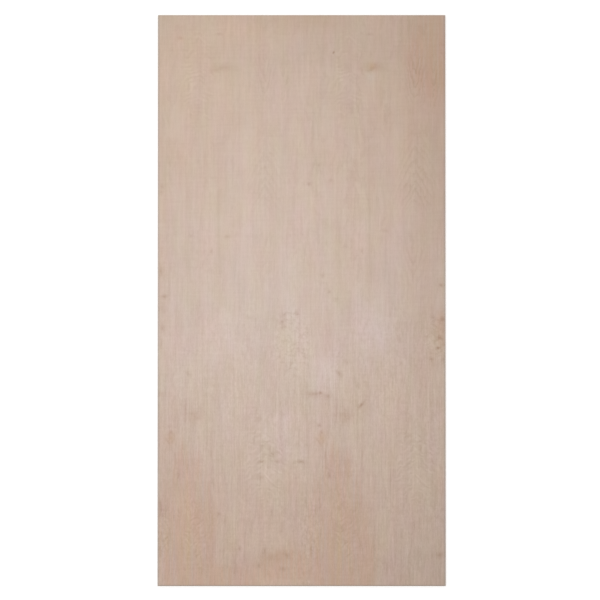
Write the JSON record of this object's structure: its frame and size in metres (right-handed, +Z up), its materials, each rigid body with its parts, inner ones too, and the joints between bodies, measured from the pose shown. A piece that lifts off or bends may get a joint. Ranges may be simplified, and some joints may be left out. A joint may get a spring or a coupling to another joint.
{
  "type": "plywood sheet",
  "caption": "Full rectangular sheet of cross-banded plywood with pale rotary-cut hardwood faces, face grain along its length and sawn edges that show the plies.",
  "frame": {"origin": "middle of the back face, which lies on the floor", "axes": "+X across the face grain, +Y along the face grain and the length, +Z up out of the front face"},
  "size_m": [1.22, 2.44, 0.018],
  "materials": {
    "plywood": "sanded, unfinished"
  },
  "bodies": {
    "root": {"plywood_sheet": "plywood"}
  },
  "joints": []
}
